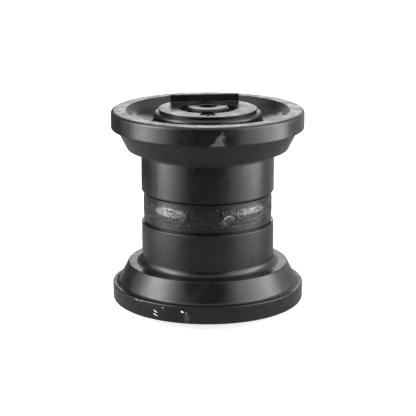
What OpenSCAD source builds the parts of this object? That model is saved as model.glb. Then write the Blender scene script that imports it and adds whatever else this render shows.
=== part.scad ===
// Track roller for a mini excavator: a welded double-flange shell turns on two bronze
// bushings round a fixed shaft. An end collar with a raised key bar closes each end,
// and a metal-face seal runs between each collar and the shell.
// The roller's axis is Z, the origin is its centre, and the key bars lie on the +Y side.
// Names ending in _a are at the +Z end and names ending in _b at the -Z end.

/* [Shell] */
// Outside diameter of the flange rims
flange_d = 150.4; // [148:0.2:156]
// Width of the shell over the two flange faces
shell_w = 151.4; // [149:0.2:154]
// Width of the cylindrical rim on each flange
rim_w = 14; // [12:0.5:15]
// Distance between the two flange shoulders, where the rails run
shoulder_gap = 91; // [90:0.5:94]
// Outside diameter of each flat shoulder
shoulder_d = 126.4; // [124:0.2:129]
// Diameter of the two treads
tread_d = 104; // [102:0.5:106]
// Diameter of the turned band between the treads
waist_d = 100.4; // [98:0.2:100.4]
// Width of the turned band between the treads
waist_w = 25; // [20:0.2:30]
// Diameter of the dished recess at the rim face
dish_d = 126; // [122:0.5:129]
// Depth of the dished recess at the collar well
dish_depth = 9; // [7:0.5:10]

/* [Collars] */
// Diameter of each collar's outer face
collar_d = 76.6; // [74:0.2:78]
// Diameter of the wider ring behind that face
collar_ring_d = 84.4; // [82:0.2:86]
// Height of the collar face above the flange face
collar_proud = 0.9; // [0:0.1:2]
// Diameter of the counterbore round the shaft end
counterbore_d = 45; // [44:0.2:45.2]
// Length of the key bar across the collar face
bar_l = 54; // [48:1:54]
// Thickness of the key bar
bar_t = 5; // [4:0.5:6]
// Height of the key bar above the collar face
bar_h = 6.5; // [4:0.1:8]
// Distance from the roller's axis to the bar's inner face
bar_offset = 22.6; // [22.6:0.1:23]

/* [Shaft] */
// Diameter of the shaft in its bushings
shaft_d = 38; // [36:0.5:38]
// Diameter of the locating spigot at each end
spigot_d = 33; // [31:0.5:34]
// Height of the spigot's end above the collar face
spigot_proud = 1.4; // [1:0.1:3]
// Tapping bore of the threaded hole in each end
end_hole_d = 14; // [12:1:16]
// Depth of the threaded hole in each end
end_hole_depth = 30; // [24:1:32]

/* [Hidden] */
$fn = 128;

eps = 0.5;                    // overshoot of a cutting tool

// Shell
flange_r = flange_d / 2;
face_z = shell_w / 2;         // flange face
rim_z = face_z - rim_w;       // inner side of the rim
ledge_w = 2.2;                // flat ledge between the rim and the cone
ledge_fillet = 3.4;           // blend of the ledge into the cone
shoulder_r = shoulder_d / 2;
shoulder_z = shoulder_gap / 2;
shoulder_edge = 1;            // rounding of the shoulder's outer edge
tread_r = tread_d / 2;
tread_fillet = 5;             // between a tread and its shoulder
waist_r = waist_d / 2;
waist_z = waist_w / 2;
relief = 0.9;                 // turned relief beside each tread
weld_w = 9;                   // weld at the surface
weld_root_w = 2;              // weld at its root
weld_root_r = 44;
weld_crown = 0.4;             // weld above the waist
dish_r = dish_d / 2;
dish_lip = 1.2;               // rounding of the dish's edge
dish_foot = 10;               // from that edge in to the centre of the bowl's curve
dish_fillet = 9;              // curve of the bowl, from its wall to its floor
dish_fall = 2.5;              // fall of the floor towards the well
dish_z = face_z - dish_depth; // edge of the collar well
well_r = collar_ring_d / 2 + 0.8;
edge_r = 2.5;                 // rounding of the rim at the flange face
small_r = 0.8;                // rounding of the other turned edges
reservoir_r = 30;
reservoir_z = 14;             // half length of the oil space

// Seal group: seal_z is the plane where the two metal faces run
seal_gap = 0.1;
seal_z = 60.5;
pocket_gap = 0.5;             // from the seal plane to each pocket's mouth
pocket_depth = 5;
pocket_mouth_r = 36.5;
pocket_floor_r = 35;
seal_r_in = 28.5;
seal_r_out = 34.8;
seal_body_r = 31.8;
seal_ramp_r = 32.6;
seal_lip = 1.5;               // thickness of the ring's face flange
seal_len = 4.65;
toric_r = 1.5;                // section radius
toric_ring_r = 33.95;

// Bushings
shaft_r = shaft_d / 2;
bush_r_in = shaft_r + 0.06;   // running clearance on the shaft
bush_r_out = 22.5;
bush_flange_r = 27;
bush_flange_t = 3;
bush_z_in = 16;               // inner end
bush_z_seat = 44;             // where the flange seats on the shell
bush_recess_r = 27.6;
oil_groove_r = 1.2;

// Collars
collar_r = collar_d / 2;
ring_r = collar_ring_d / 2;
collar_z = face_z + collar_proud;
lip_h = 1;                    // height of the lip round the collar face
neck_r = collar_r - 1.1;      // undercut below the lip
ring_z = collar_z - 2.2;      // top of the wider ring
ring_edge = 3;                // rounding of that ring
lip_edge = 0.5;               // rounding of the lip
hub_r = 27;
hub_z = bush_z_seat + bush_flange_t + 0.3;
collar_bore_r = shaft_r + 0.01;
cb_r = counterbore_d / 2;
cb_z = collar_z - 6;          // counterbore floor
o_groove_z = 53;
o_groove_w = 3.2;
o_groove_r = 21.2;
bar_edge = 1;                 // rounding of the bar's long top edges
bar_foot = 1.4;               // fillet at the bar's foot

// Shaft
spigot_r = spigot_d / 2;
spigot_z = cb_z + 3.4;        // where the spigot meets the full shaft
shaft_end_z = collar_z + spigot_proud;
spigot_chamfer = 1.3;
end_hole_r = end_hole_d / 2;
end_hole_chamfer = 0.6;

// Retaining ring, lock pin, oil plug
snap_t = 1.75;
snap_z = cb_z + 0.05;
snap_groove_r = shaft_r - 1;
snap_r_out = 21.8;
snap_gap_deg = 34;
pin_r = 3;
pin_len = 11;
pin_hole_depth = pin_len + 0.2;
port_r = 27.2;                // distance from the axis to the oil port
port_deg = -96;               // direction of the port round the axis
port_spot_r = 6.2;
port_spot_depth = 4.2;
port_thread_r = 3;
port_end_z = 65.6;            // the port opens into the seal pocket
plug_head_r = 4.2;
plug_head_h = 3.4;
plug_len = 4.8;               // below the head
plug_chamfer = 0.5;
plug_socket_af = 4;
plug_socket_depth = 2.6;

// Points along an arc about [cx, cy] from angle a to angle b, in n steps
function arc(cx, cy, r, a, b, n = 6) =
    [for (i = [0 : n]) let (t = a + (b - a) * i / n) [cx + r * cos(t), cy + r * sin(t)]];

// Angle from the axis of the straight line that joins two arcs and passes between their centres.
// The radii are positive when arc a lies on the line's inner side, and negative when arc b does.
function join_deg(a, a_r, b, b_r) =
    let (d = b - a) atan2(d[0], d[1]) - asin((a_r + b_r) / norm(d));

module turned(points) {
    rotate_extrude() polygon(points);
}

// The +Z end as drawn, or the same turned over for the -Z end
module at_end(end) {
    if (end == "a") children();
    else mirror([0, 0, 1]) children();
}

// ---- Shell ----

module shell_half() {
    corner = [shoulder_r - shoulder_edge, shoulder_z + shoulder_edge];
    ledge = [flange_r - ledge_w, rim_z - ledge_fillet];
    cone_deg = join_deg(corner, shoulder_edge, ledge, ledge_fillet);
    foot = [dish_r - dish_foot, dish_z + dish_fall + dish_fillet];
    lip = [dish_r + dish_lip, face_z - dish_lip];
    wall_deg = join_deg(foot, dish_fillet, lip, dish_lip);
    well = [well_r + small_r, dish_z - small_r];
    floor_deg = join_deg(well, -small_r, foot, -dish_fillet);
    turned(concat(
        [[reservoir_r, 0], [weld_root_r, 0], [weld_root_r, weld_root_w / 2],
         [waist_r, weld_w / 2], [waist_r, waist_z - 2 * relief],
         [waist_r - relief, waist_z - relief], [waist_r - relief, waist_z]],
        arc(tread_r - small_r, waist_z + small_r, small_r, -90, 0),
        arc(tread_r + tread_fillet, shoulder_z - tread_fillet, tread_fillet, 180, 90, 8),
        arc(corner[0], corner[1], shoulder_edge, -90, -cone_deg),
        arc(ledge[0], ledge[1], ledge_fillet, 180 - cone_deg, 90, 8),
        arc(flange_r - small_r, rim_z + small_r, small_r, -90, 0),
        arc(flange_r - edge_r, face_z - edge_r, edge_r, 0, 90),
        arc(lip[0], lip[1], dish_lip, 90, 180 - wall_deg),
        arc(foot[0], foot[1], dish_fillet, -wall_deg, -floor_deg),
        arc(well[0], well[1], small_r, 180 - floor_deg, 180),
        [[well_r, seal_z - pocket_gap], [pocket_mouth_r, seal_z - pocket_gap],
         [pocket_floor_r, seal_z - pocket_gap - pocket_depth],
         [bush_recess_r, seal_z - pocket_gap - pocket_depth], [bush_recess_r, bush_z_seat],
         [bush_r_out, bush_z_seat], [bush_r_out, bush_z_in],
         [reservoir_r, reservoir_z]]
    ));
}

module shell_half_a() { color([0.07, 0.07, 0.075]) at_end("a") shell_half(); }
module shell_half_b() { color([0.07, 0.07, 0.075]) at_end("b") shell_half(); }

module weld_bead() {
    color([0.2, 0.2, 0.2])
    turned([
        [weld_root_r, -weld_root_w / 2], [waist_r, -weld_w / 2],
        [waist_r + weld_crown, -weld_w / 4], [waist_r + weld_crown, weld_w / 4],
        [waist_r, weld_w / 2], [weld_root_r, weld_root_w / 2]
    ]);
}

// ---- Bushings and seals ----

module bushing(end) {
    color([0.72, 0.52, 0.25])
    at_end(end)
    difference() {
        turned([
            [bush_r_in, bush_z_in], [bush_r_out - small_r, bush_z_in], [bush_r_out, bush_z_in + small_r],
            [bush_r_out, bush_z_seat], [bush_flange_r, bush_z_seat],
            [bush_flange_r, bush_z_seat + bush_flange_t], [bush_r_in, bush_z_seat + bush_flange_t]
        ]);
        for (a = [30 : 120 : 270])
            rotate(a) translate([bush_r_in, 0, bush_z_in - eps])
                cylinder(r = oil_groove_r, h = bush_z_seat + bush_flange_t - bush_z_in + 2 * eps, $fn = 32);
    }
}

// side is 1 for the ring in the collar and -1 for the ring in the shell
module seal_ring(end, side) {
    color([0.55, 0.55, 0.57])
    at_end(end) translate([0, 0, seal_z]) mirror([0, 0, side > 0 ? 0 : 1])
    turned([
        [seal_r_in, seal_gap / 2], [seal_r_out, seal_gap / 2], [seal_r_out, seal_lip],
        [seal_ramp_r, seal_lip], [seal_body_r, seal_len], [seal_r_in, seal_len]
    ]);
}

module toric_ring(end, side) {
    color([0.05, 0.05, 0.05])
    at_end(end)
    translate([0, 0, seal_z + side * (seal_lip + toric_r + 0.4)])
        rotate_extrude() translate([toric_ring_r, 0]) circle(r = toric_r, $fn = 32);
}

// ---- Collars ----

// The bar's corners follow the collar's edge
module key_bar() {
    foot = bar_offset - bar_foot;
    intersection() {
        translate([-bar_l / 2, 0, 0]) rotate([90, 0, 90]) linear_extrude(bar_l)
        polygon(concat(
            [[foot, -eps], [foot, 0]],
            arc(foot, bar_foot, bar_foot, -90, 0),
            arc(bar_offset + bar_edge, bar_h - bar_edge, bar_edge, 180, 90),
            arc(bar_offset + bar_t - bar_edge, bar_h - bar_edge, bar_edge, 90, 0),
            [[bar_offset + bar_t, -eps]]
        ));
        translate([0, 0, -2 * eps]) cylinder(r = collar_r - lip_edge, h = bar_h + 4 * eps);
    }
}

module collar_body() {
    turned(concat(
        [[collar_bore_r, hub_z + small_r], [collar_bore_r + small_r, hub_z], [hub_r - small_r, hub_z],
         [hub_r, hub_z + small_r], [hub_r, seal_z + pocket_gap + pocket_depth],
         [pocket_floor_r, seal_z + pocket_gap + pocket_depth], [pocket_mouth_r, seal_z + pocket_gap]],
        arc(ring_r - small_r, seal_z + pocket_gap + small_r, small_r, -90, 0),
        arc(ring_r - ring_edge, ring_z - ring_edge, ring_edge, 0, 90),
        [[neck_r, ring_z], [neck_r, collar_z - lip_h], [collar_r, collar_z - lip_h]],
        arc(collar_r - lip_edge, collar_z - lip_edge, lip_edge, 0, 90),
        [[cb_r + small_r / 2, collar_z], [cb_r, collar_z - small_r / 2], [cb_r, cb_z],
         [collar_bore_r, cb_z], [collar_bore_r, o_groove_z + o_groove_w],
         [o_groove_r, o_groove_z + o_groove_w], [o_groove_r, o_groove_z], [collar_bore_r, o_groove_z]]
    ));
}

module collar(end) {
    color([0.1, 0.1, 0.105])
    at_end(end)
    difference() {
        union() {
            collar_body();
            translate([0, 0, collar_z]) key_bar();
        }
        translate([0, 0, collar_z - 2 * eps]) cylinder(r = cb_r, h = bar_foot + 2 * eps);
        rotate(port_deg) translate([port_r, 0, 0]) {
            translate([0, 0, collar_z - port_spot_depth])
                cylinder(r = port_spot_r, h = port_spot_depth + eps);
            translate([0, 0, port_end_z]) cylinder(r = port_thread_r, h = collar_z - port_end_z, $fn = 48);
        }
        lock_pin_hole();
    }
}

// ---- Shaft and what holds it ----

module lock_pin_hole() {
    translate([shaft_r, 0, cb_z - pin_hole_depth])
        cylinder(r = pin_r, h = pin_hole_depth + eps, $fn = 48);
}

module end_hole() {
    tip = end_hole_r * tan(30);
    translate([0, 0, shaft_end_z - end_hole_depth]) cylinder(r = end_hole_r, h = end_hole_depth + eps);
    translate([0, 0, shaft_end_z - end_hole_depth - tip]) cylinder(r1 = 0, r2 = end_hole_r, h = tip);
    translate([0, 0, shaft_end_z - end_hole_chamfer])
        cylinder(r1 = end_hole_r, r2 = end_hole_r + 2 * end_hole_chamfer, h = 2 * end_hole_chamfer);
}

// Outline of the shaft's +Z half, from the middle to the end
function shaft_outline() = [
    [shaft_r - 0.6, reservoir_z - 4], [shaft_r, reservoir_z - 3],
    [shaft_r, snap_z - 0.02], [snap_groove_r, snap_z - 0.02],
    [snap_groove_r, snap_z + snap_t + 0.08], [shaft_r, snap_z + snap_t + 0.08],
    [shaft_r, spigot_z - 0.6], [shaft_r - 0.6, spigot_z], [spigot_r, spigot_z],
    [spigot_r, shaft_end_z - spigot_chamfer], [spigot_r - spigot_chamfer, shaft_end_z],
    [0, shaft_end_z]
];

module shaft() {
    half = shaft_outline();
    other = [for (i = [len(half) - 1 : -1 : 0]) [half[i][0], -half[i][1]]];
    color([0.6, 0.6, 0.62])
    difference() {
        turned(concat(other, half));
        for (end = ["a", "b"]) at_end(end) {
            end_hole();
            lock_pin_hole();
        }
    }
}

module lock_pin(end) {
    color([0.5, 0.5, 0.52])
    at_end(end)
    translate([shaft_r, 0, cb_z - pin_len]) {
        translate([0, 0, small_r]) cylinder(r = pin_r - 0.02, h = pin_len - small_r, $fn = 48);
        cylinder(r1 = pin_r - small_r, r2 = pin_r - 0.02, h = small_r, $fn = 48);
    }
}

module retaining_ring(end) {
    mid_r = (snap_groove_r + snap_r_out) / 2;
    color([0.3, 0.3, 0.32])
    at_end(end)
    translate([0, 0, snap_z]) rotate(-90)
    difference() {
        cylinder(r = snap_r_out, h = snap_t);
        translate([0, 0, -eps]) cylinder(r = snap_groove_r + 0.05, h = snap_t + 2 * eps);
        linear_extrude(snap_t + eps)
            polygon([[0, 0], [40 * cos(snap_gap_deg / 2), -40 * sin(snap_gap_deg / 2)],
                     [40 * cos(snap_gap_deg / 2), 40 * sin(snap_gap_deg / 2)]]);
        for (s = [-1, 1])
            rotate(s * (snap_gap_deg / 2 + 6)) translate([mid_r, 0, -eps])
                cylinder(r = 1, h = snap_t + 2 * eps, $fn = 24);
    }
}

module shaft_o_ring(end) {
    section_r = 1.05;
    color([0.05, 0.05, 0.05])
    at_end(end)
    translate([0, 0, o_groove_z + o_groove_w / 2])
        rotate_extrude() translate([shaft_r + section_r + 0.02, 0]) circle(r = section_r, $fn = 24);
}

// z = 0 is the plug's seat, the floor of the port's spot face
module oil_plug(end) {
    color([0.3, 0.3, 0.3])
    at_end(end)
    rotate(port_deg) translate([port_r, 0, collar_z - port_spot_depth])
    difference() {
        union() {
            translate([0, 0, -plug_len]) cylinder(r = port_thread_r - 0.02, h = plug_len + eps, $fn = 48);
            cylinder(r = plug_head_r, h = plug_head_h - plug_chamfer, $fn = 48);
            translate([0, 0, plug_head_h - plug_chamfer])
                cylinder(r1 = plug_head_r, r2 = plug_head_r - plug_chamfer, h = plug_chamfer, $fn = 48);
        }
        translate([0, 0, plug_head_h - plug_socket_depth])
            cylinder(r = plug_socket_af / 2 / cos(30), h = plug_socket_depth + eps, $fn = 6);
    }
}

shell_half_a();
shell_half_b();
weld_bead();
shaft();
collar("a");  // collar_a
collar("b");  // collar_b
bushing("a");  // bushing_a
bushing("b");  // bushing_b
seal_ring("a", -1);  // shell_seal_ring_a
seal_ring("b", -1);  // shell_seal_ring_b
toric_ring("a", -1);  // shell_toric_ring_a
toric_ring("b", -1);  // shell_toric_ring_b
seal_ring("a", 1);  // collar_seal_ring_a
seal_ring("b", 1);  // collar_seal_ring_b
toric_ring("a", 1);  // collar_toric_ring_a
toric_ring("b", 1);  // collar_toric_ring_b
shaft_o_ring("a");  // shaft_o_ring_a
shaft_o_ring("b");  // shaft_o_ring_b
retaining_ring("a");  // retaining_ring_a
retaining_ring("b");  // retaining_ring_b
lock_pin("a");  // lock_pin_a
lock_pin("b");  // lock_pin_b
oil_plug("a");  // oil_plug_a
oil_plug("b");  // oil_plug_b
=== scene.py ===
"""The looks of a track roller: satin black paint, a rough weld, and a studio to see it in."""
import math
import random

import bpy
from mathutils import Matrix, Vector, noise


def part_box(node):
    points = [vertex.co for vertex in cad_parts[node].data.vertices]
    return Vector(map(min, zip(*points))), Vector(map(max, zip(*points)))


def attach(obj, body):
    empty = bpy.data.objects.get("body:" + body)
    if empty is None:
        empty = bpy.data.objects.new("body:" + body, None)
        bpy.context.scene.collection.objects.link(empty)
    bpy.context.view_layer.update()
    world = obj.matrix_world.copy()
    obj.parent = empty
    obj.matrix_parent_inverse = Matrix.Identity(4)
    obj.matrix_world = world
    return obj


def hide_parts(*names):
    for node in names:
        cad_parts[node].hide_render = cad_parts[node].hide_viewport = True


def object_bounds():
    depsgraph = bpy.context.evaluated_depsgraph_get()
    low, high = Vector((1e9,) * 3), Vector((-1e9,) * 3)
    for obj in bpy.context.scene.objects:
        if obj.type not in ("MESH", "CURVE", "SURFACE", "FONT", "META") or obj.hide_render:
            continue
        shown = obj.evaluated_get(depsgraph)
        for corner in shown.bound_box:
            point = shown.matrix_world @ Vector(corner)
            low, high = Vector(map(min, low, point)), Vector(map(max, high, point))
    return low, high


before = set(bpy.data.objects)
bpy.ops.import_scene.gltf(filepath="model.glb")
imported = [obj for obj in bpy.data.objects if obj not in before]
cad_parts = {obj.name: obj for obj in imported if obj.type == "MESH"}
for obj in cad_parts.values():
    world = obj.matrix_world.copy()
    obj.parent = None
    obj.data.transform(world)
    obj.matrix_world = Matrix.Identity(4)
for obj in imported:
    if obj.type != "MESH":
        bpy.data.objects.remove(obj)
cad_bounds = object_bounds()

MM = 0.001
CAMERA_AZIMUTH = -6.0                       # degrees round the roller from straight in front
FRONT = math.radians(CAMERA_AZIMUTH - 90)   # polar direction that faces the camera


def box_mm(node):
    low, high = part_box(node)
    return Vector(low) / MM, Vector(high) / MM


RIM_R = box_mm("shell_half_a")[1].x
WELD_R = box_mm("weld_bead")[1].x


# ---- Shader trees, written as sums ----

class Shader:
    """A material's node tree. Each method adds a node and returns its output socket."""

    def __init__(self, name):
        self.material = bpy.data.materials.new(name)
        self.material.use_nodes = True
        self.tree = self.material.node_tree
        self.surface = self.tree.nodes["Principled BSDF"]

    def put(self, socket, value):
        if isinstance(value, bpy.types.NodeSocket):
            self.tree.links.new(value, socket)
        else:
            socket.default_value = value

    def add(self, kind, inputs, **settings):
        node = self.tree.nodes.new(kind)
        for key, value in settings.items():
            setattr(node, key, value)
        for key, value in inputs.items():
            self.put(node.inputs[key], value)
        return node

    def math(self, operation, a, b=0.0, c=0.0):
        return self.add("ShaderNodeMath", {0: a, 1: b, 2: c}, operation=operation).outputs[0]

    def ramp(self, value, low, high, to_low=0.0, to_high=1.0):
        """value taken from low..high to to_low..to_high, with smooth ends."""
        node = self.add(
            "ShaderNodeMapRange",
            {"Value": value, "From Min": low, "From Max": high, "To Min": to_low, "To Max": to_high},
            interpolation_type="SMOOTHSTEP",
        )
        return node.outputs[0]

    def mix(self, factor, a, b):
        node = self.add("ShaderNodeMix", {}, data_type="RGBA")
        self.put(node.inputs["Factor"], factor)
        self.put(node.inputs[6], a)
        self.put(node.inputs[7], b)
        return node.outputs[2]

    def position(self):
        """The place on the object, in millimetres."""
        coords = self.add("ShaderNodeTexCoord", {}).outputs["Object"]
        return self.scaled(coords, (1 / MM,) * 3)

    def scaled(self, place, factors):
        return self.add("ShaderNodeVectorMath", {0: place, 1: factors}, operation="MULTIPLY").outputs[0]

    def length(self, x, y):
        return self.math("SQRT", self.math("ADD", self.math("MULTIPLY", x, x), self.math("MULTIPLY", y, y)))

    def cylinder(self, place):
        """The same place as (radius, degrees round from the camera's side, height)."""
        xyz = self.add("ShaderNodeSeparateXYZ", {0: place})
        x, y, z = xyz.outputs
        turn = {"Vector": place, "Angle": -FRONT}
        turned = self.add("ShaderNodeVectorRotate", turn, rotation_type="Z_AXIS")
        front = self.add("ShaderNodeSeparateXYZ", {0: turned.outputs[0]})
        angle = self.math("DEGREES", self.math("ARCTAN2", front.outputs[1], front.outputs[0]))
        return self.length(x, y), angle, z

    def noise(self, place, size, detail=2.0, stretch=None):
        """Noise with features about size millimetres across."""
        if stretch:
            place = self.scaled(place, stretch)
        inputs = {"Vector": place, "Scale": 1 / size, "Detail": detail}
        return self.add("ShaderNodeTexNoise", inputs).outputs[0]

    def bump(self, height, distance, strength=1.0, under=None):
        """height in 0..1, distance in millimetres."""
        inputs = {"Height": height, "Distance": distance * MM, "Strength": strength}
        if under:
            inputs["Normal"] = under
        return self.add("ShaderNodeBump", inputs).outputs[0]

    def finish(self, **values):
        for key, value in values.items():
            self.put(self.surface.inputs[key.replace("_", " ")], value)
        return self.material

    def reach(self, angle, z, at, turn=0.0):
        """Millimetres along and across from a place (degrees, height) on the rim, turned by degrees."""
        along = self.math("MULTIPLY", self.math("SUBTRACT", angle, at[0]), RIM_MM_PER_DEG)
        up = self.math("SUBTRACT", z, at[1])
        c, s = math.cos(math.radians(turn)), math.sin(math.radians(turn))
        u = self.math("ADD", self.math("MULTIPLY", along, c), self.math("MULTIPLY", up, s))
        v = self.math("SUBTRACT", self.math("MULTIPLY", up, c), self.math("MULTIPLY", along, s))
        return u, v

    def chip(self, place, angle, z, at, half, turn=0.0):
        """1 inside a ragged oval of half-size (along, across) millimetres on the rim, 0 outside."""
        u, v = self.reach(angle, z, at, turn)
        size = self.length(self.math("DIVIDE", u, half[0]), self.math("DIVIDE", v, half[1]))
        edge = self.ramp(self.noise(place, CHIP_GRAIN, 3), 0.3, 0.7, -CHIP_RAGGED, CHIP_RAGGED)
        return self.ramp(self.math("ADD", size, edge), 0.8, 1.15, 1.0, 0.0)


RIM_MM_PER_DEG = math.radians(RIM_R)
CHIP_GRAIN = 0.7        # millimetres between the teeth of a chip's edge
CHIP_RAGGED = 0.45      # their depth, as a part of the chip's half-size

# Paint: sizes of its features and heights of its relief, in millimetres
BLOTCH, SHEEN, PEEL, DUST, GRAIN = 22, 9, 1.3, 0.45, 0.4
PEEL_HEIGHT, GRAIN_HEIGHT = 0.02, 0.006
PAINT_TONE = 0.0022     # a deep satin black
PAINT_ROUGH = 0.3
DUST_TONE, DUST_COVER = 0.16, 0.3
MARK_ROUGH = 0.6
PLUG_LIT_TONE = 0.012       # painted light: a lighter copy of the black paint for the plug, standing in for the light it catches in its hole
WELD_DARK, WELD_LIGHT = 0.0018, 0.004
# Weld tones: a pale grey that is partly worn paint and partly painted highlight on ridges and the upper
# sides of lumps, and a near black that is painted shade in the pits
WORN_AND_HIGHLIGHT_TONE, PIT_SHADE_TONE = 0.26, 0.0003
WELD_PEEL, WELD_PEEL_HEIGHT = 1.0, 0.02
WELD_GRAIN, WELD_GRAIN_HEIGHT = 0.45, 0.006

TURNED_RING = 0.5       # width of a turned ring on bare metal, in millimetres
RUBBER_DARK, RUBBER_LIGHT = 0.012, 0.03


def grey(value, warm=0.0):
    return (value * (1 + warm), value, value * (1 - warm), 1)


def black_paint(name, tone=PAINT_TONE, marks=None):
    """Satin black spray paint: blotchy tone, orange peel, dust, and what marks(shader, place) adds.

    marks returns pairs (mask, colour), laid over the paint one after another."""
    s = Shader(name)
    place = s.position()
    blotch = s.ramp(s.noise(place, BLOTCH, 4), 0.35, 0.65)
    colour = s.mix(blotch, grey(tone * 0.8), grey(tone * 1.3, 0.03))
    dust = s.ramp(s.noise(place, DUST, 1), 0.76, 0.81)
    colour = s.mix(s.math("MULTIPLY", dust, DUST_COVER), colour, grey(DUST_TONE, 0.02))
    sheen = s.ramp(s.noise(place, SHEEN, 5), 0.3, 0.7, PAINT_ROUGH - 0.04, PAINT_ROUGH + 0.05)
    roughness = s.math("ADD", sheen, s.math("MULTIPLY", dust, 0.2))
    for mask, shade in marks(s, place) if marks else []:
        colour = s.mix(mask, colour, shade)
        roughness = s.math("MAXIMUM", roughness, s.math("MULTIPLY", mask, MARK_ROUGH))
    peel = s.bump(s.noise(place, PEEL, 2), PEEL_HEIGHT)
    grain = s.bump(s.noise(place, GRAIN, 2), GRAIN_HEIGHT, under=peel)
    return s.finish(Base_Color=colour, Roughness=roughness, Normal=grain)


# Marks from handling, as (degrees from the camera's side, height in mm)
LINE_DEG = -47.8                            # the fine upright line
LINE_CORE, LINE_EDGE = 0.1, 0.22            # degrees either side of its middle
LINE_COVER, LINE_TONE = 0.85, 0.0006
# The scuff's two sides, each from its foot to its head
SCUFF_LEFT = ((1.8, 62.8), (8.2, 72.8))
SCUFF_RIGHT = ((9.9, 62.6), (8.8, 73.2))
SCUFF_WANDER = 1.1                          # degrees that its sides wander
SCUFF_COVER, SCUFF_TONE = 0.8, 0.07
SMEAR_AT, SMEAR_HALF = (-12.2, -70.0), (2.4, 3.2)
SMEAR_COVER, SMEAR_TONE = 0.16, 0.12
CHIPS = [
    # place, half-size in mm, turn in degrees, brightness, warmth
    ((-32.0, -68.1), (1.7, 0.4), -28, 0.5, 0.0),
    ((-31.9, -70.9), (1.8, 0.42), -24, 0.45, 0.0),
    ((-15.0, -65.8), (1.1, 0.55), -20, 0.6, 0.16),
    ((-12.4, -66.6), (0.5, 0.4), 0, 0.3, 0.0),
    ((-46.0, -62.9), (2.2, 0.3), -6, 0.2, 0.0),
    ((-42.6, -62.7), (1.3, 0.26), -6, 0.16, 0.0),
    ((-27.0, -64.3), (0.9, 0.25), -12, 0.25, 0.0),
]


def upper_marks(s, place):
    """A fine upright line and a pale flame-shaped scuff on the upper rim."""
    radius, angle, z = s.cylinder(place)
    on_rim = s.ramp(radius, RIM_R - 0.9, RIM_R - 0.5)
    line = s.math("ABSOLUTE", s.math("SUBTRACT", angle, LINE_DEG))
    line = s.math("MULTIPLY", s.ramp(line, LINE_CORE, LINE_EDGE, LINE_COVER, 0.0), on_rim)
    wander = s.ramp(s.noise(place, 2.2, 4), 0.3, 0.7, -SCUFF_WANDER, SCUFF_WANDER)
    sides = []
    for (low, high), sign in ((SCUFF_LEFT, 1), (SCUFF_RIGHT, -1)):
        slope = (high[0] - low[0]) / (high[1] - low[1])
        edge = s.math("ADD", s.math("MULTIPLY", s.math("SUBTRACT", z, low[1]), slope), low[0])
        inside = s.math("MULTIPLY", s.math("SUBTRACT", angle, edge), sign)
        sides.append(s.ramp(s.math("ADD", inside, wander), -0.15, 0.5))
    head_z = SCUFF_LEFT[1][1]
    fade = s.ramp(z, head_z - 1, head_z + 1, 1.0, 0.0)
    worn = s.ramp(s.noise(place, 1.6, 4), 0.3, 0.62, 0.35, 1.0)
    scuff = s.math("MULTIPLY", s.math("MULTIPLY", sides[0], sides[1]), s.math("MULTIPLY", fade, worn))
    scuff = s.math("MULTIPLY", s.math("MULTIPLY", scuff, on_rim), SCUFF_COVER)
    return [(line, grey(LINE_TONE)), (scuff, grey(SCUFF_TONE))]


def lower_marks(s, place):
    """Pale chips on the lower rim and its top edge, and a faint smear among them."""
    radius, angle, z = s.cylinder(place)
    on_rim = s.ramp(radius, RIM_R - 1.6, RIM_R - 0.9)
    found = []
    for at, half, turn, bright, warm in CHIPS:
        mask = s.math("MULTIPLY", s.chip(place, angle, z, at, half, turn), on_rim)
        found.append((mask, grey(bright, warm)))
    smear = s.math("MULTIPLY", s.chip(place, angle, z, SMEAR_AT, SMEAR_HALF), on_rim)
    found.append((s.math("MULTIPLY", smear, SMEAR_COVER), grey(SMEAR_TONE)))
    return found


def bare_metal(name, colour, rough):
    """Turned metal with fine rings along its axis."""
    s = Shader(name)
    place = s.position()
    rings = s.noise(place, TURNED_RING, 3, stretch=(0.1, 0.1, 1))
    tone = s.mix(rings, tuple(0.8 * c for c in colour) + (1,), tuple(colour) + (1,))
    roughness = s.ramp(s.noise(place, 5, 4), 0.3, 0.7, rough - 0.06, rough + 0.08)
    return s.finish(Base_Color=tone, Roughness=roughness, Metallic=1.0, Normal=s.bump(rings, 0.01))


def rubber(name):
    s = Shader(name)
    place = s.position()
    tone = s.mix(s.noise(place, 3, 3), grey(RUBBER_DARK), grey(RUBBER_LIGHT))
    return s.finish(Base_Color=tone, Roughness=0.75, Normal=s.bump(s.noise(place, 0.5, 2), 0.03))


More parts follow.
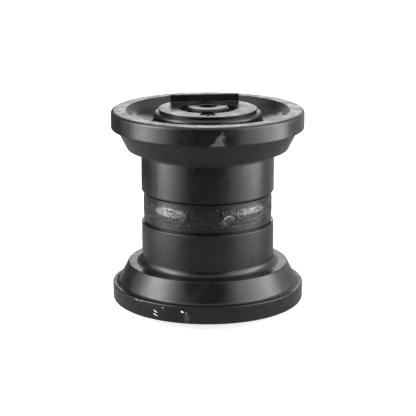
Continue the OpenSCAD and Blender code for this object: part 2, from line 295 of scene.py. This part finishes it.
def weld_paint():
    """Black paint over the weld. It is pale where the mesh marks worn paint and painted highlight, and it is
    painted shade without reflection in the pits.
    """
    s = Shader("weld_paint")
    place = s.position()
    wear_and_highlight = s.add("ShaderNodeAttribute", {}, attribute_name="wear_and_highlight").outputs["Fac"]
    pit_and_shade = s.add("ShaderNodeAttribute", {}, attribute_name="pit_and_shade").outputs["Fac"]
    tone = s.mix(s.noise(place, 2.5, 4), grey(WELD_DARK), grey(WELD_LIGHT))
    # Pale grey: partly worn paint, partly painted highlight on ridge tops and the upper sides of lumps
    thin_and_highlight = s.math("MULTIPLY", wear_and_highlight, s.ramp(s.noise(place, 0.6, 3), 0.35, 0.6, 0.35, 1.0))
    tone = s.mix(thin_and_highlight, tone, grey(WORN_AND_HIGHLIGHT_TONE, 0.01))
    # Painted shade: the pits are made near black and rough
    tone = s.mix(pit_and_shade, tone, grey(PIT_SHADE_TONE))
    roughness = s.ramp(s.noise(place, 3, 4), 0.3, 0.7, 0.2, 0.36)
    roughness = s.math("MAXIMUM", roughness, s.math("MULTIPLY", pit_and_shade, 0.95))
    peel = s.bump(s.noise(place, WELD_PEEL, 2), WELD_PEEL_HEIGHT)
    grain = s.bump(s.noise(place, WELD_GRAIN, 3), WELD_GRAIN_HEIGHT, under=peel)
    # Painted shade: the pits also lose their reflection
    shine = s.ramp(pit_and_shade, 0.0, 0.6, 0.5, 0.0)
    return s.finish(Base_Color=tone, Roughness=roughness, Specular_IOR_Level=shine, Normal=grain)


# ---- The weld ----
# Places on it are (degrees from the camera's side, height in mm). Sizes and rises are in mm.

WELD_LOW, WELD_HIGH = -8.4, 8.8         # edges of the modelled seam
WELD_AROUND, WELD_ACROSS = 1440, 78     # its mesh steps
CROWN = 0.4                             # height of the CAD bead above the waist
SEAM_BED = 1.6                          # the seam's underside, below the waist
SEAM_SUNK = 0.05                        # its two edges, below the waist
SEAM_PROUD = 0.02                       # its plain parts, above the waist
SEAM_BLEND = 1.0                        # width of the slope at its edges

BEAD_LOW, BEAD_HIGH = -4.6, 6.0         # edges of the bead
BEAD_WANDER = 0.8                       # how far its lumps move those edges
LUMP_FREQUENCY, FINE_FREQUENCY = 0.17, 0.75
BEAD_RISE, LUMP_RISE, RIPPLE_RISE, FINE_RISE = 0.16, 0.2, 0.06, 0.025
RIPPLE_LENGTH, RIPPLE_BOW, RIPPLE_MIDDLE = 2.3, 0.012, 0.8
CALM_FROM, CALM_TO, CALM_SHARE = -17, 10, 0.75      # a flatter stretch

# Patches of slanting ridges: middle, half-size in (degrees, mm), fall along the weld, noise seed
LEFT_PATCH = ((-36.0, 2.9), (16.5, 3.7), 0.3, 3.0)
RIGHT_PATCH = ((39.0, 3.9), (18.5, 2.5), -0.14, 9.0)
# Their ridges: frequency along and across the weld, sharpness, share
BROAD_RIDGE = (0.17, 0.95, 3.2, 0.75)
NARROW_RIDGE = (0.5, 2.2, 3, 0.25)
LEFT_RIDGE, LEFT_BASE = 0.42, -0.08
RIGHT_RIDGE, RIGHT_BASE = 0.34, 0.05

LAP_FROM, LAP_TO = 8.0, 62.0            # degrees that the last pass overlaps the first
LAP_LOWEST = (25, -7.1)
LAP_LEFT, LAP_RIGHT = (14, 4.6), (34, 2.6)          # its edge rises this many mm over this many degrees
LAP_STEP, LAP_LINE = 0.5, 0.3           # height of that edge, and depth of the line below it

LOBE, LOBE_HALF = (19.4, -0.3), (4.9, 3.0)          # the domed end of the last pass
LOBE_RISE, LOBE_CREVICE = 0.75, 0.6
SECOND, SECOND_HALF = (30.5, -0.2), (5.6, 2.8)      # the flatter one behind it
SECOND_RISE, SECOND_RING = 0.22, 0.05

SPATTER_SEED, SPATTER_DROPS = 11, 130
SPATTER_BELOW, SPATTER_ABOVE = (-6.2, 0.8), (6.8, 0.6)      # middle and spread of its two bands
SPATTER_BELOW_SHARE = 0.75
DROP_RADIUS, DROP_RISE = (0.3, 0.62), (0.12, 0.34)
PITS = [(-33.6, 4.1, 0.85), (25.1, 5.1, 0.7)]       # degrees, height, radius
PIT_DEPTH = 0.9


def smooth(value, low, high):
    t = min(1.0, max(0.0, (value - low) / (high - low)))
    return t * t * (3 - 2 * t)


def within(value, low, high, soft):
    return smooth(value, low - soft, low + soft) * (1 - smooth(value, high - soft, high + soft))


def bulge(size):
    """A dome 1 high in the middle, 0 where size reaches 1."""
    return math.sqrt(max(0.0, 1 - size * size))


def along_weld(deg, z, centre, half):
    """How far a place is from a centre, in half-sizes along and up."""
    arc = math.radians(deg) * WELD_R - math.radians(centre[0]) * WELD_R
    return arc / half[0], (z - centre[1]) / half[1]


def ridges(along, across, seed, along_frequency, across_frequency, sharpness, share):
    wave = noise.noise(Vector((along * along_frequency, across * across_frequency, seed)))
    return max(0.0, 1 - sharpness * abs(wave)) * share


def streaks(along, up, slope, seed):
    """Ridges 0..1 that run along the weld and fall by slope millimetres per millimetre."""
    across = up + slope * along
    return ridges(along, across, seed, *BROAD_RIDGE) + ridges(along, across, seed + 5, *NARROW_RIDGE)


def patch_of_ridges(deg, z, middle, half, slope, seed):
    """(inside, ridge) of a patch where the bead's ridges run aslant."""
    away = math.hypot((deg - middle[0]) / half[0], (z - middle[1]) / half[1])
    inside = 1 - smooth(away, 0.75, 1.15)
    return inside, streaks(math.radians(deg) * WELD_R, z, slope, seed) if inside > 0 else 0.0


def spatter():
    """Small lumps thrown beside the weld, by whole degrees: (degrees, height, radius, rise)."""
    rng = random.Random(SPATTER_SEED)
    drops = {}
    for _ in range(SPATTER_DROPS):
        deg = rng.uniform(-180, 180)
        band = SPATTER_BELOW if rng.random() < SPATTER_BELOW_SHARE else SPATTER_ABOVE
        drop = (deg, rng.gauss(*band), rng.uniform(*DROP_RADIUS), rng.uniform(*DROP_RISE))
        for near_deg in range(-2, 3):
            drops.setdefault((int(deg) + near_deg) % 360, []).append(drop)
    return drops


def lap_edge(deg):
    """Height of the lap's lower edge: lowest a third of the way along, rising to both ends."""
    reach, rise = LAP_LEFT if deg < LAP_LOWEST[0] else LAP_RIGHT
    t = (deg - LAP_LOWEST[0]) / reach
    return LAP_LOWEST[1] + rise * t * t


def bead_relief(deg, z, place, fine):
    """(height, pale grey share) of the plain bead: lumps, ripples and grain, flatter over the calm stretch.
    The pale grey on its bumps is partly worn paint and partly painted highlight.
    """
    lumps = noise.fractal(place * LUMP_FREQUENCY, 0.9, 2.0, 3)
    calm = 1 - CALM_SHARE * within(deg, CALM_FROM, CALM_TO, 4)
    bead = within(z, BEAD_LOW + BEAD_WANDER * lumps, BEAD_HIGH + BEAD_WANDER * lumps, 1.0)
    turns = math.radians(deg) * WELD_R / RIPPLE_LENGTH + RIPPLE_BOW * (z - RIPPLE_MIDDLE) ** 2 + 0.5 * lumps
    ripple = math.sin(2 * math.pi * turns)
    rise = BEAD_RISE + LUMP_RISE * lumps + RIPPLE_RISE * ripple + FINE_RISE * fine
    return bead * calm * rise, 0.08 * bead * calm * smooth(fine, 0.1, 0.45)


def lap_relief(deg, z, place, fine):
    """(height, pale grey share) that the last pass adds where it overlaps the first. The pale grey along its
    edge is partly worn paint and partly painted highlight.
    """
    if not LAP_FROM < deg < LAP_TO:
        return 0.0, 0.0
    edge = z - lap_edge(deg) - 0.25 * noise.noise(place * 0.4)
    ends = within(deg, LAP_FROM + 3, LAP_TO - 4, 3)
    step = LAP_STEP * ends * smooth(edge, -0.1, 0.35) * (1 - smooth(z, 1.5, 5.0))
    line = LAP_LINE * ends * (1 - smooth(abs(edge + 0.4), 0.1, 0.5))
    return step - line, 0.4 * ends * (1 - smooth(abs(edge - 0.45), 0.1, 0.45)) * smooth(fine, -0.3, 0.2)


def lobe_relief(u, v, height, wear_and_highlight):
    """(height, pale grey share) with the domed end of the last pass laid over: a crevice below, and a pale
    edge above that is painted highlight as well as worn paint.
    """
    size = math.hypot(u, v)
    if size > 1.5:
        return height, wear_and_highlight
    height = height * smooth(size, 0.85, 1.1) + LOBE_RISE * bulge(size)
    height -= LOBE_CREVICE * within(size, 1.0, 1.14, 0.1) * smooth(-u - 0.5 * v, -0.3, 0.5)
    # The pale crescent on the lobe's upper side is painted highlight as well as worn paint
    crescent = within(size, 0.66, 0.92, 0.08) * smooth(v - 0.8 * u, 0.25, 0.9)
    wear_and_highlight = wear_and_highlight * smooth(size, 0.8, 1.2) + 0.12 * bulge(size) + 0.85 * crescent
    return height, wear_and_highlight


def second_relief(size):
    """Height of the flatter lobe behind the domed one, with faint rings in it."""
    if size >= 1.2:
        return 0.0
    return SECOND_RISE * bulge(size) + SECOND_RING * math.sin(size * 14) * within(size, 0.3, 0.95, 0.1)


def weld_relief(deg, z, drops):
    """(height, pale grey share, pit share) of the weld at a place round the waist. The pale grey is partly
    worn paint and partly painted highlight, and the pits carry painted shade.
    """
    around = Vector((math.cos(math.radians(deg)), math.sin(math.radians(deg)), 0)) * WELD_R
    place = around + Vector((0, 0, z))
    fine = noise.fractal(place * FINE_FREQUENCY, 0.8, 2.0, 3)
    height, wear_and_highlight = bead_relief(deg, z, place, fine)

    # The patches' ridge tops are painted pale: painted highlight as well as worn paint
    inside, ridge = patch_of_ridges(deg, z, *LEFT_PATCH)
    height += inside * (LEFT_RIDGE * ridge + LEFT_BASE)
    wear_and_highlight += inside * (0.12 + 0.78 * smooth(ridge, 0.35, 0.8))
    inside, ridge = patch_of_ridges(deg, z, *RIGHT_PATCH)
    height += inside * (RIGHT_RIDGE * ridge + RIGHT_BASE)
    wear_and_highlight += inside * (0.25 + 0.6 * smooth(deg, 26, 40)) * smooth(ridge, 0.25, 0.75)

    lap_height, lap_wear_and_highlight = lap_relief(deg, z, place, fine)
    u, v = along_weld(deg, z, LOBE, LOBE_HALF)
    height, wear_and_highlight = lobe_relief(u, v, height + lap_height, wear_and_highlight + lap_wear_and_highlight)
    if math.hypot(u, v) > 0.9:
        height += second_relief(math.hypot(*along_weld(deg, z, SECOND, SECOND_HALF)))

    for drop_deg, drop_z, radius, rise in drops.get(int(deg) % 360, []):
        away = math.hypot(*along_weld(deg, z, (drop_deg, drop_z), (radius, radius)))
        if away < 1:
            height += rise * bulge(away)
            # The upper half of each drop is made pale: painted highlight as well as worn paint
            wear_and_highlight += 0.4 * smooth(z - drop_z, 0.0, radius)

    # Pits: sunk into the weld, and the same mask lays painted shade in the paint
    pit_and_shade = 0.0
    for pit_deg, pit_z, radius in PITS:
        away = math.hypot(*along_weld(deg, z, (pit_deg, pit_z), (radius, radius)))
        pit_and_shade = max(pit_and_shade, 1 - smooth(away, 0.7, 1.25))
    height -= PIT_DEPTH * pit_and_shade
    return height, min(1.0, wear_and_highlight) * (1 - pit_and_shade), pit_and_shade


def seam_ring(deg, drops):
    """(outline, pale grey shares, pit shares) of the seam's section at one direction, closed below the
    waist.
    """
    waist_r = WELD_R - CROWN
    outline, wears_and_highlights, pits_and_shade = [], [], []
    for j in range(WELD_ACROSS + 1):
        z = WELD_LOW + (WELD_HIGH - WELD_LOW) * j / WELD_ACROSS
        height, wear_and_highlight, pit_and_shade = weld_relief(deg, z, drops)
        blend = smooth(min(z - WELD_LOW, WELD_HIGH - z), 0.0, SEAM_BLEND)
        outline.append((waist_r - SEAM_SUNK + blend * (SEAM_SUNK + SEAM_PROUD + height), z))
        wears_and_highlights.append(wear_and_highlight * blend)
        pits_and_shade.append(pit_and_shade)
    bed_r = waist_r - SEAM_BED
    return outline + [(bed_r, WELD_HIGH), (bed_r, WELD_LOW)], wears_and_highlights + [0.0] * 2, pits_and_shade + [0.0] * 2


def weld_seam():
    drops = spatter()
    points, wears_and_highlights, pits_and_shade = [], [], []
    for i in range(WELD_AROUND):
        deg = -180 + 360 * i / WELD_AROUND
        turn = FRONT + math.radians(deg)
        outline, ring_wears_and_highlights, ring_pits_and_shade = seam_ring(deg, drops)
        points += [(r * math.cos(turn) * MM, r * math.sin(turn) * MM, z * MM) for r, z in outline]
        wears_and_highlights += ring_wears_and_highlights
        pits_and_shade += ring_pits_and_shade
    n = len(points) // WELD_AROUND
    faces = []
    for i in range(WELD_AROUND):
        k = (i + 1) % WELD_AROUND
        for j in range(n):
            m = (j + 1) % n
            faces.append((i * n + j, k * n + j, k * n + m, i * n + m))
    mesh = bpy.data.meshes.new("weld_seam")
    mesh.from_pydata(points, [], faces)
    mesh.polygons.foreach_set("use_smooth", [True] * len(faces))
    # The pale grey (worn paint and painted highlight) and the pits' painted shade go to the paint as point
    # values
    for name, values in (("wear_and_highlight", wears_and_highlights), ("pit_and_shade", pits_and_shade)):
        mesh.attributes.new(name, "FLOAT", "POINT").data.foreach_set("value", values)
    mesh.update()
    seam = bpy.data.objects.new("weld_seam", mesh)
    bpy.context.scene.collection.objects.link(seam)
    mesh.materials.append(weld_paint())
    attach(seam, "roller")
    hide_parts("weld_bead")


# ---- Finishes of the CAD nodes ----

def dress(node, material):
    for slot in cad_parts[node].material_slots:
        slot.material = material


def dress_all():
    shells = {
        "a": black_paint("shell_paint_a", marks=upper_marks),
        "b": black_paint("shell_paint_b", marks=lower_marks),
    }
    collar = black_paint("collar_paint")
    shaft = black_paint("shaft_paint")
    # Painted light: the plug's paint is the same black, made lighter
    plug = black_paint("plug_lit_paint", tone=PLUG_LIT_TONE)
    bronze = bare_metal("bronze", (0.6, 0.4, 0.16), 0.32)
    iron = bare_metal("seal_iron", (0.4, 0.4, 0.41), 0.22)
    spring = bare_metal("spring_steel", (0.1, 0.1, 0.105), 0.4)
    steel = bare_metal("pin_steel", (0.45, 0.45, 0.46), 0.3)
    seal = rubber("seal_rubber")
    for end in "ab":
        dress(f"shell_half_{end}", shells[end])
        dress(f"collar_{end}", collar)
        dress(f"oil_plug_{end}", plug)
        dress(f"bushing_{end}", bronze)
        dress(f"retaining_ring_{end}", spring)
        dress(f"lock_pin_{end}", steel)
        dress(f"shaft_o_ring_{end}", seal)
        for side in ("shell", "collar"):
            dress(f"{side}_seal_ring_{end}", iron)
            dress(f"{side}_toric_ring_{end}", seal)
    dress("shaft", shaft)


# ---- Studio ----
# Azimuths are degrees round the roller from the camera's side, and lengths are in metres.

LIGHT_TINT = (0.985, 0.965, 1.0)
WORLD_STRENGTH = 1.2
FLOOR_GLOW = 0.75           # keeps the shadow under the roller faint
SHEET_GAP = 0.0005          # between the floor and a sheet that only reflections see


def studio_place(azimuth, distance, height):
    """A place in the studio, its height counted from the roller's centre."""
    a = FRONT + math.radians(azimuth)
    return Vector((distance * math.cos(a), distance * math.sin(a), height))


def light_wall(name, azimuth, width, distance, low, high, brightness):
    """An upright soft box of a given brightness, facing the roller's axis."""
    light = bpy.data.lights.new(name, "AREA")
    light.shape = "RECTANGLE"
    light.size, light.size_y = width, high - low
    light.energy = brightness * math.pi * width * (high - low)
    light.color = LIGHT_TINT
    lamp = bpy.data.objects.new(name, light)
    lamp.location = studio_place(azimuth, distance, (low + high) / 2)
    inwards = Vector((0, 0, lamp.location.z)) - lamp.location
    lamp.rotation_euler = inwards.to_track_quat("-Z", "Y").to_euler()
    lamp.visible_camera = False
    bpy.context.scene.collection.objects.link(lamp)


def matt(name, value, glow=0.0, warm=0.0):
    s = Shader(name)
    tone = s.mix(s.noise(s.position(), 300, 2), grey(value * 0.98, warm), grey(value, warm))
    return s.finish(Base_Color=tone, Roughness=0.9, Emission_Color=(1, 1, 1, 1), Emission_Strength=glow)


def plane(name, corners, material):
    mesh = bpy.data.meshes.new(name)
    mesh.from_pydata([tuple(c) for c in corners], [], [(0, 1, 2, 3)])
    mesh.materials.append(material)
    thing = bpy.data.objects.new(name, mesh)
    bpy.context.scene.collection.objects.link(thing)
    return thing


def only_reflected(thing):
    thing.visible_camera = False
    thing.visible_diffuse = False
    thing.visible_shadow = False


def card(name, start, end, distance, low, high, surface):
    """An upright card between two azimuths, bent round the roller, that only reflections see."""
    steps = 6
    for i in range(steps):
        a = start + (end - start) * i / steps
        b = start + (end - start) * (i + 1) / steps
        corners = [(a, low), (b, low), (b, high), (a, high)]
        strip = plane(f"{name}_{i}", [studio_place(azimuth, distance, z) for azimuth, z in corners], surface)
        only_reflected(strip)


def ground(name, reach, height, surface):
    corners = [(-1, -1), (1, -1), (1, 1), (-1, 1)]
    return plane(name, [(x * reach, y * reach, height) for x, y in corners], surface)


def floor_patch(name, azimuth, width, near, far, height, surface):
    """A sheet lying between the roller and a soft box, that only reflections see."""
    out = studio_place(azimuth, 1.0, 0.0).normalized()
    side = Vector((-out.y, out.x, 0)) * (width / 2)
    lift = Vector((0, 0, height))
    corners = [out * near - side, out * far - side, out * far + side, out * near + side]
    only_reflected(plane(name, [corner + lift for corner in corners], surface))


def studio():
    scene = bpy.context.scene
    world = bpy.data.worlds.new("studio")
    scene.world = world
    world.use_nodes = True
    world.node_tree.nodes["Background"].inputs["Color"].default_value = (1, 1, 1, 1)
    world.node_tree.nodes["Background"].inputs["Strength"].default_value = WORLD_STRENGTH
    scene.view_settings.view_transform = "Standard"
    floor_z = cad_bounds[0][2]
    pale = ground("floor", 6.0, floor_z, matt("floor", 0.85, glow=FLOOR_GLOW))
    pale.visible_glossy = False
    only_reflected(ground("table", 1.5, floor_z - SHEET_GAP, matt("table", 0.26)))
    low = floor_z + 0.01
    for name, azimuth, width, distance, bottom, top, brightness in (
        # left of the camera
        ("left_wide", -68, 0.40, 0.46, low, 0.60, 2.2),
        ("left_middle", -74, 0.24, 0.45, low, 0.58, 2.2),
        ("left_core", -76, 0.12, 0.44, low, 0.56, 2.4),
        ("left_top", -68, 0.20, 0.43, 0.10, 0.50, 4.0),
        # right of the camera
        ("right_wide", 70, 0.56, 0.46, low, 0.60, 2.0),
        ("right_middle", 80, 0.34, 0.45, low, 0.58, 2.2),
        ("right_core", 84, 0.14, 0.44, low, 0.30, 2.4),
        # far behind, for the upward faces
        ("backdrop", 180, 2.4, 3.0, 0.57, 0.85, 5.5),
    ):
        light_wall(name, azimuth, width, distance, bottom, top, brightness)
    pale_sheet = matt("patch", 0.7)
    for side in (-1, 1):
        floor_patch(f"patch_{side}", 72 * side, 0.26, 0.21, 0.44, floor_z + SHEET_GAP, pale_sheet)
    card("dark_front", -34, 30, 0.4, floor_z, 0.45, matt("dark_front", 0.004))
    card("brown_left", -164, -108, 0.42, floor_z, 0.5, matt("brown_left", 0.03, warm=0.5))
    card("dark_back", 140, 220, 3.1, floor_z, 2.6, matt("dark_back", 0.12))
    card("grey_right", 122, 164, 0.42, floor_z, 0.5, matt("grey_right", 0.25))


def camera():
    distance, height, aside = 1.2169, 0.3091, 0.00023
    pitch = 14.415
    cam = bpy.data.cameras.new("camera")
    cam.lens = 138.06
    cam.sensor_width = 36
    eye = bpy.data.objects.new("camera", cam)
    turn = math.radians(CAMERA_AZIMUTH)
    eye.location = (aside * math.cos(turn) + distance * math.sin(turn),
                    aside * math.sin(turn) - distance * math.cos(turn), height)
    eye.rotation_euler = (math.radians(90 - pitch), 0, turn)
    bpy.context.scene.collection.objects.link(eye)
    bpy.context.scene.camera = eye


camera()
studio()
dress_all()
weld_seam()
